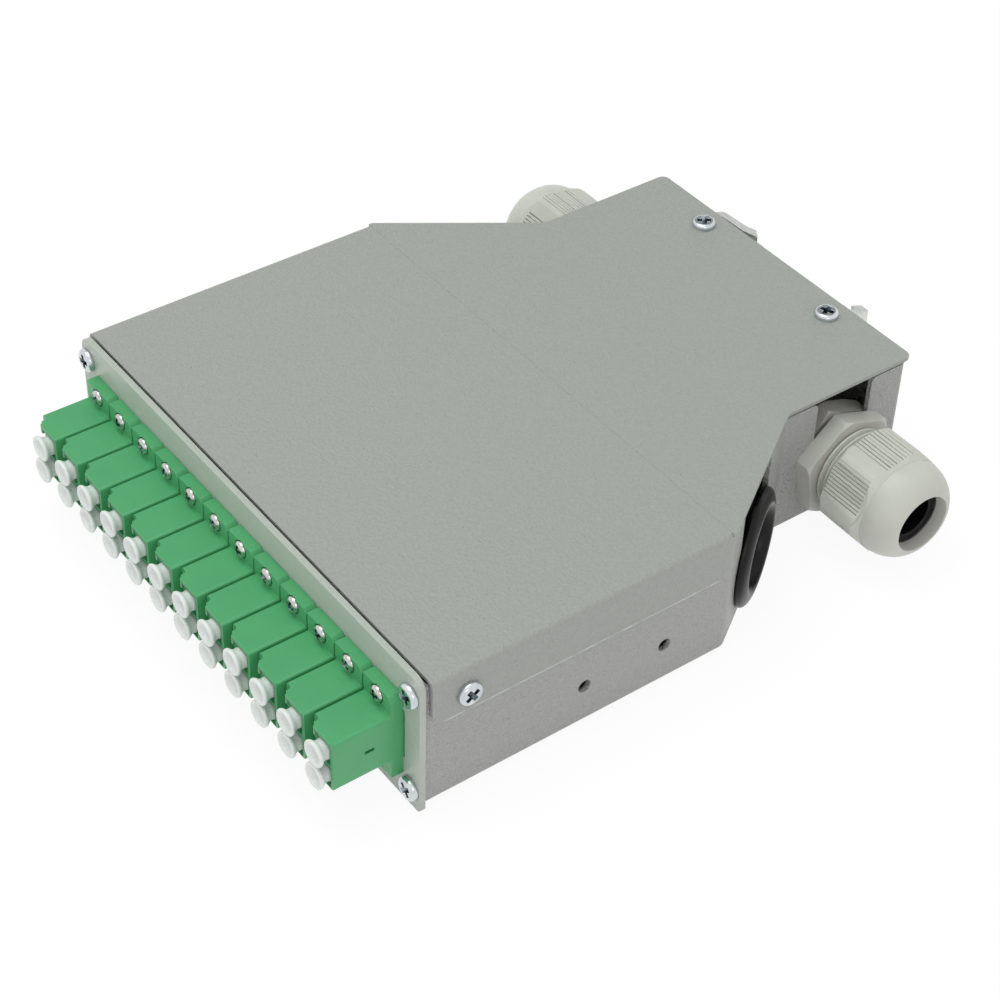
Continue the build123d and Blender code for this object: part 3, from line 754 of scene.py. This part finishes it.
# Grommets. A moulded black rubber ring in a slot of each tapered wall, held by a groove round its middle.
grommet = turned(
    "grommet",
    [
        (10.4, 0.12), (13.2, 0.12), (13.55, 0.45), (13.55, 0.9), (13.2, 1.45), (12.5, 1.95), (11.5, 2.32),
        (10.7, 2.48), (10.2, 2.42), (9.7, 2.1), (9.2, 1.4), (8.85, 0.6), (8.7, -0.3), (8.7, -2.4),
        (8.95, -3.2), (9.6, -3.65), (10.6, -3.7), (11.5, -3.3), (11.95, -2.6), (12.0, -1.32),
        (10.4, -1.32), (10.4, 0.12),
    ],
    96,
)
smooth(grommet, 40)
for name, side in (("left", -1), ("right", 1)):
    out = Vector((side * taper_out.x, taper_out.y, 0))
    columns = (Vector((-out.y, out.x, 0)), Vector((0, 0, 1)), out)
    spot = Matrix.Translation(Vector((side * grommet_spot[0], grommet_spot[1], grommet_spot[2])) * mm)
    ring = placed(grommet, f"rubber_ring_{name}", spot @ Matrix(columns).transposed().to_4x4())
    dress(ring, black_rubber, "box", "black_rubber", f"grommet_{name}")
bpy.data.objects.remove(grommet)

# Front panel. A flat steel plate with one window for all twelve adapters, smooth powder coat, screwed to
# the tray's tabs by its corners.
panel_half = 66.3
panel_foot = -0.7
panel_top = 35.7
panel_paint = finish(
    "panel_paint",
    (0.50, 0.53, 0.485),
    roughness=0.34,
    grain=(420, 0.03),
    tone=(700, 2.0),
    dark=(0.485, 0.515, 0.47),
    light=(0.515, 0.545, 0.5),
    rough=0.45,
)
panel = block("panel", (-panel_half, panel_front, panel_foot), (panel_half, tray_front, panel_top))
for at_z, radius in ((panel_top, 3.0), (panel_foot, 1.0)):
    select(panel, "EDGE", lambda c, e: abs(c.z - at_z) < 0.01 and abs(abs(c.x) - panel_half) < 0.01)
    bpy.ops.mesh.bevel(offset=radius * mm, segments=6, affect="EDGES")
closed()
combine(panel, block("window", (-60.0, -77, 10.95), (60.95, -73, 24.05)))
ease(panel, 0.2, 3)
dress(panel, panel_paint, "box", "panel_paint", "front_panel")

# Duplex adapters. Green mouldings, twelve side by side: a body with two ports in front, a screw ear above
# and below against the panel, and a plain rear body inside the case. The left wall stands back for the
# plugs' latches.
adapter_pitch = 10.05
adapter_half = 4.825
row_height = 17.5
body_half = 6.45
ear_half = 11.0
ear_front = -78.4
ear_screws = (8.5, 26.5)
mouth_y = -91.9
rear_body = 10.5
row_shift = 0.55
port_shift = 1.35
port_heights = (13.95, 20.2)
port_half = 2.6
latch_half = 1.5
port_depth = 9
green_plastic = finish(
    "green_plastic",
    (0.085, 0.405, 0.165),
    roughness=0.36,
    grain=(1700, 0.008),
    tone=(120, 3.0),
    dark=(0.08, 0.39, 0.158),
    light=(0.09, 0.42, 0.173),
)
adapter = block(
    "adapter",
    (-adapter_half, ear_front, row_height - ear_half),
    (adapter_half, panel_front, row_height + ear_half),
)
for at_z in (row_height - body_half, row_height + body_half):
    bpy.ops.mesh.select_all(action="SELECT")
    bpy.ops.mesh.bisect(plane_co=(0, 0, at_z * mm), plane_no=(0, 0, 1))
select(adapter, "FACE", lambda c, f: f.normal.y < -0.9 and 12 < c.z < 23)
push(0, mouth_y - ear_front, 0)
select(adapter, "FACE", lambda c, f: f.normal.y > 0.9 and 12 < c.z < 23)
push(0, rear_body, 0)
bpy.ops.transform.resize(value=(9.3 / 9.65, 1, 12.5 / 12.9))
select(
    adapter,
    "EDGE",
    lambda c, e: abs(abs(c.x) - adapter_half) < 0.01
    and c.y < -80
    and abs(abs(c.z - row_height) - body_half) < 0.01,
)
bpy.ops.mesh.bevel(offset=0.7 * mm, segments=2, affect="EDGES")
for sign in (1, -1):
    select(
        adapter,
        "EDGE",
        lambda c, e: abs(c.x - sign * adapter_half) < 0.01
        and abs(c.z - row_height - sign * ear_half) < 0.01
        and c.y > ear_front + 0.5,
    )
    bpy.ops.mesh.bevel(offset=1.05 * mm, segments=1, affect="EDGES")
closed()
ease(adapter, 0.14, 2, 30)
setback = chain(
    "setback",
    [
        (-5.5, -89.8, 8), (-4.9, -89.8, 8), (-3.6, -89.8, 8), (-3.05, -89.95, 8), (-2.75, -90.35, 8),
        (-2.68, -90.8, 8), (-2.8, -91.15, 8), (-2.35, -91.3, 8), (-1.95, -91.75, 8), (-1.9, -92.5, 8),
        (-5.5, -92.5, 8),
    ],
)
bpy.ops.mesh.edge_face_add()
push(0, 0, 20)
clean()
combine(adapter, setback)
for at_z in port_heights:
    low = (port_shift - port_half, mouth_y - 1, at_z - port_half)
    combine(adapter, block("port", low, (port_shift + port_half, mouth_y + port_depth, at_z + port_half)))
    low = (port_shift - 5.3, mouth_y - 1, at_z - latch_half)
    combine(adapter, block("latch_way", low, (port_shift - 2.5, mouth_y + port_depth, at_z + latch_half)))
for at_z in ear_screws:
    combine(adapter, round_bar("counterbore", (0, ear_front - 1, at_z), (0, 1, 0), 2.12, 1.35, 40))
combine(adapter, block("side_slot", (adapter_half - 1.4, -84.5, 17.1), (adapter_half + 1, -82.3, 17.95)))
smooth(adapter, 28)
adapter_places = [(number - 5.5) * adapter_pitch + row_shift for number in range(12)]
for number, x in enumerate(adapter_places, start=1):
    dress(
        placed(adapter, f"duplex_adapter_{number:02d}", Matrix.Translation((x * mm, 0, 0))),
        green_plastic,
        "box",
        "adapter_green",
        f"adapter_{number:02d}",
    )
bpy.data.objects.remove(adapter)

# M2 pan-head screws. Steel, nickel plated, turned with a cross recess and sunk into the adapters' ears,
# where they hold each adapter to the panel.
nickel = finish(
    "nickel",
    (0.56, 0.56, 0.54),
    roughness=0.12,
    grain=(1500, 0.004),
    tone=(400, 2.0),
    dark=(0.5, 0.5, 0.48),
    light=(0.62, 0.62, 0.6),
    metallic=1.0,
)
m2_screw = turned(
    "m2_screw",
    [
        (0, 1.25), (0.75, 1.22), (1.3, 1.09), (1.65, 0.85), (1.85, 0.52), (1.9, 0.25), (1.86, 0.0),
        (0.95, 0.0), (0.95, -5.5), (0, -5.5),
    ],
    32,
)
cross_recess(m2_screw, 1.25, 1.5, 0.8, 0.85)
# The walls of the cross recess get painted shade.
shaded_recess(m2_screw, nickel, 1.2, 1.45)
smooth(m2_screw, 30)
small_screws = []
for number, x in enumerate(adapter_places):
    for level, z in enumerate(ear_screws):
        turn = (37 * number + 53 * level) % 90
        small_screws.append(placed(m2_screw, "screw", pose(x, ear_front + 0.35, z, "front", turn)))
dress(joined("screws_of_adapters", small_screws), nickel, "box", "nickel", "adapter_screws")
bpy.data.objects.remove(m2_screw)

# Dust caps. Soft white translucent plugs, moulded and pushed into every port, with a flared and dished lip
# to pull them by.
cap_white = finish(
    "cap_white",
    (0.85, 0.865, 0.865),
    roughness=0.42,
    grain=(900, 0.01),
    tone=(260, 2.0),
    dark=(0.83, 0.845, 0.845),
    light=(0.87, 0.885, 0.885),
)
cap_depth = (0.0015, 0.0015, 0.0015)
tune(cap_white, {"Subsurface Weight": 0.35, "Subsurface Radius": cap_depth, "Subsurface Scale": 0.6})
cap = turned(
    "cap",
    [
        (0, -8.0), (2.1, -8.0), (2.3, -7.8), (2.3, -0.2), (2.2, 0.2), (2.2, 0.6), (2.32, 1.0), (2.56, 1.35),
        (2.84, 1.62), (3.0, 1.9), (3.02, 2.15), (2.92, 2.38), (2.72, 2.5), (2.48, 2.46), (2.28, 2.28),
        (2.14, 2.0), (1.98, 1.5), (1.76, 1.1), (1.4, 0.92), (0, 0.88),
    ],
    40,
)
smooth(cap, 50)
for number, x in enumerate(adapter_places, start=1):
    for letter, z in zip("ab", reversed(port_heights)):
        dress(
            placed(cap, f"cap_{number:02d}{letter}", pose(x + port_shift, mouth_y, z, "front")),
            cap_white,
            f"cap_{number:02d}{letter}",
            "cap_white",
            f"dust_cap_{number:02d}{letter}",
        )
bpy.data.objects.remove(cap)

# Top cover. Flat steel sheet cut to the case's plan, with a flange folded down along each wide side. Powder
# coated greenish grey with a leather texture, thin and lighter along the flange's cut edge, where the
# lighter colour is partly a painted highlight. It is screwed to the sides and to the tray's rear flange.
cover_half = 67.0
cover_front = -73.05
cover_top = 35.0
cover_sheet = 0.9
fold = 1.4
flange_foot = 23.4
flange_rear = 2.0
flange_corner = 3.4
cut_edge = 0.28
cut_edge_lip = 0.2
cover_taper = (cover_half, 2.9)
cover_neck = (43.95, 37.2)
cover_corner = (43.95, 74.0)
cover_paint = powder_coat("cover_paint", (0.386, 0.396, 0.377), 1350, 0.34)
bpy.ops.object.select_all(action="DESELECT")
bpy.ops.mesh.primitive_plane_add(size=1, location=(0, (cover_front + flange_rear) / 2 * mm, cover_top * mm))
bpy.context.object.scale = (2 * (cover_half - fold) * mm, (flange_rear - cover_front) * mm, 1)
cover = named("cover")
for side in (-1, 1):
    select(cover, "EDGE", lambda c, e: abs(c.x - side * (cover_half - fold)) < 0.01)
    bpy.ops.mesh.spin(
        steps=6,
        angle=radians(90),
        center=(side * (cover_half - fold) * mm, 0, (cover_top - fold) * mm),
        axis=(0, -side, 0),
    )
    select(
        cover,
        "EDGE",
        lambda c, e: abs(c.x - side * cover_half) < 0.02 and abs(c.z - cover_top + fold) < 0.02,
    )
    push(0, 0, flange_foot - cover_top + fold)
select(cover, "VERT", lambda c, v: c.z < flange_foot + 0.1)
bpy.ops.mesh.bevel(offset=flange_corner * mm, segments=6, affect="VERTICES")
clean()
top_face = max(bmesh.from_edit_mesh(cover.data).faces, key=lambda face: face.calc_area())
if top_face.normal.z < 0:
    bpy.ops.mesh.flip_normals()
closed()
apply(cover, "SOLIDIFY", thickness=cover_sheet * mm, offset=-1, use_even_offset=True)
rear_outline = [(cover_half, flange_rear), cover_taper, cover_neck, cover_corner]
rear_outline += [(-x, y) for x, y in reversed(rear_outline)]
plate = prism("plate", rear_outline, cover_top - cover_sheet, cover_sheet)
for spot, offset in ((cover_taper, 0.6), (cover_neck, 1.0), (cover_corner, 1.8)):
    select(
        plate,
        "EDGE",
        lambda c, e: abs(abs(c.x) - spot[0]) < 0.05
        and abs(c.y - spot[1]) < 0.05
        and abs(c.z - cover_top + cover_sheet / 2) < 0.1,
    )
    bpy.ops.mesh.bevel(offset=offset * mm, segments=5, affect="EDGES")
combine(cover, plate, "UNION")
alone(cover)
bpy.ops.object.mode_set(mode="EDIT")
bpy.ops.mesh.select_all(action="SELECT")
bpy.ops.mesh.bisect(plane_co=(0, 0, (flange_foot + cut_edge) * mm), plane_no=(0, 0, 1))
select(cover, "VERT", lambda c, v: c.z < flange_foot + 0.02 and abs(c.x) > cover_half - 0.1)
widening = (cover_half + cut_edge_lip) / cover_half
bpy.ops.transform.resize(value=(widening, 1, 1), center_override=(0, 0, 0))
closed()
# Lighter paint for the flange's cut edge: thin paint there, and partly a painted highlight along the edge.
thin_edge_paint_and_highlight = finish(
    "thin_edge_paint_and_highlight",
    (0.56, 0.56, 0.54),
    roughness=0.4,
    grain=(900, 0.04),
    tone=(300, 2.0),
    dark=(0.46, 0.46, 0.44),
    light=(0.62, 0.62, 0.6),
    span=(0.35, 0.65),
)
cover.data.materials.append(cover_paint)
cover.data.materials.append(thin_edge_paint_and_highlight)
# Faces on the flange's cut lower edge get the lighter paint, which is partly a painted highlight.
for face in cover.data.polygons:
    middle = face.center / mm
    outside = abs(middle.x) > cover_half - 0.1 and abs(face.normal.x) > 0.5
    if outside and middle.z < flange_foot + cut_edge - 0.01:
        face.material_index = 1
ease(cover, 0.08, 2, 40)
dress(cover, cover_paint, "box", "cover_paint", "top_cover")

# The studio: a white floor under the case, a soft light above and a small one at the right, an even white
# surround, a grey card at the left that only reflections meet, and the camera where the photograph was
# taken from.


def parted(nodes, links, output, lighting, sight):
    """Lets light meet one shader, and the camera, mirrors and clear pieces another."""
    rays = nodes.new("ShaderNodeLightPath")
    either = nodes.new("ShaderNodeMath")
    either.operation = "MAXIMUM"
    also = nodes.new("ShaderNodeMath")
    also.operation = "MAXIMUM"
    both = nodes.new("ShaderNodeMixShader")
    links.new(rays.outputs["Is Camera Ray"], either.inputs[0])
    links.new(rays.outputs["Is Glossy Ray"], either.inputs[1])
    links.new(either.outputs[0], also.inputs[0])
    links.new(rays.outputs["Is Transmission Ray"], also.inputs[1])
    links.new(also.outputs[0], both.inputs["Fac"])
    links.new(lighting.outputs[0], both.inputs[1])
    links.new(sight.outputs[0], both.inputs[2])
    links.new(both.outputs[0], nodes.new(output).inputs["Surface"])


bpy.ops.object.select_all(action="DESELECT")
bpy.ops.mesh.primitive_plane_add(size=6, location=(0, 0, cad_box[0][2]))
floor = bpy.context.object
floor.name = "floor"
floor_paint = bpy.data.materials.new("floor_paint")
floor_paint.use_nodes = True
nodes = floor_paint.node_tree.nodes
links = floor_paint.node_tree.links
nodes.clear()
paper = nodes.new("ShaderNodeBsdfDiffuse")
paper.inputs["Color"].default_value = (0.98, 0.98, 0.98, 1)
glow = nodes.new("ShaderNodeEmission")
glow.inputs["Color"].default_value = (1, 1, 1, 1)
glow.inputs["Strength"].default_value = 1.02
lit = nodes.new("ShaderNodeMixShader")
lit.inputs["Fac"].default_value = 0.9
links.new(paper.outputs[0], lit.inputs[1])
links.new(glow.outputs[0], lit.inputs[2])
parted(nodes, links, "ShaderNodeOutputMaterial", paper, lit)
floor.data.materials.append(floor_paint)

world = bpy.data.worlds.new("surround")
bpy.context.scene.world = world
world.use_nodes = True
nodes = world.node_tree.nodes
links = world.node_tree.links
nodes.clear()
light = nodes.new("ShaderNodeBackground")
light.inputs["Color"].default_value = (1.0, 0.99, 0.985, 1)
light.inputs["Strength"].default_value = 0.62
backdrop = nodes.new("ShaderNodeBackground")
backdrop.inputs["Color"].default_value = (1, 1, 1, 1)
backdrop.inputs["Strength"].default_value = 1.0
parted(nodes, links, "ShaderNodeOutputWorld", light, backdrop)

for name, spot, shape, size, energy, colour in (
    ("key_light", (-0.1, -0.15, 0.75), "DISK", 0.6, 2.1, (0.84, 1.0, 0.87)),
    ("side_light", (0.75, -0.35, 0.42), "SQUARE", 0.25, 0.5, (1.0, 1.0, 1.0)),
):
    bpy.ops.object.light_add(type="AREA", location=spot)
    lamp = bpy.context.object
    lamp.name = name
    lamp.data.shape = shape
    lamp.data.size = size
    lamp.data.energy = energy
    lamp.data.color = colour
    lamp.rotation_euler = (-lamp.location).to_track_quat("-Z", "Y").to_euler()

bpy.ops.object.select_all(action="DESELECT")
bpy.ops.mesh.primitive_plane_add(size=0.9, location=(-0.62, 0.5, 0.72))
card = bpy.context.object
card.name = "dark_card"
card.rotation_euler = (-card.location).to_track_quat("Z", "Y").to_euler()
card_paper = bpy.data.materials.new("card_paper")
card_paper.use_nodes = True
tune(card_paper, {"Base Color": (0.5, 0.52, 0.53, 1), "Roughness": 1.0})
card.data.materials.append(card_paper)
card.visible_camera = False
card.visible_diffuse = False
card.visible_shadow = False
card.visible_transmission = False

bpy.ops.object.camera_add(
    location=(0.321596, -0.253666, 0.354817),
    rotation=(radians(48.82389), radians(-1.45364), radians(53.80557)),
)
camera = bpy.context.object
camera.name = "camera"
camera.data.lens = 84.697
camera.data.sensor_width = 36
camera.data.clip_start = 0.01
bpy.context.scene.camera = camera
bpy.context.scene.view_settings.view_transform = "Standard"
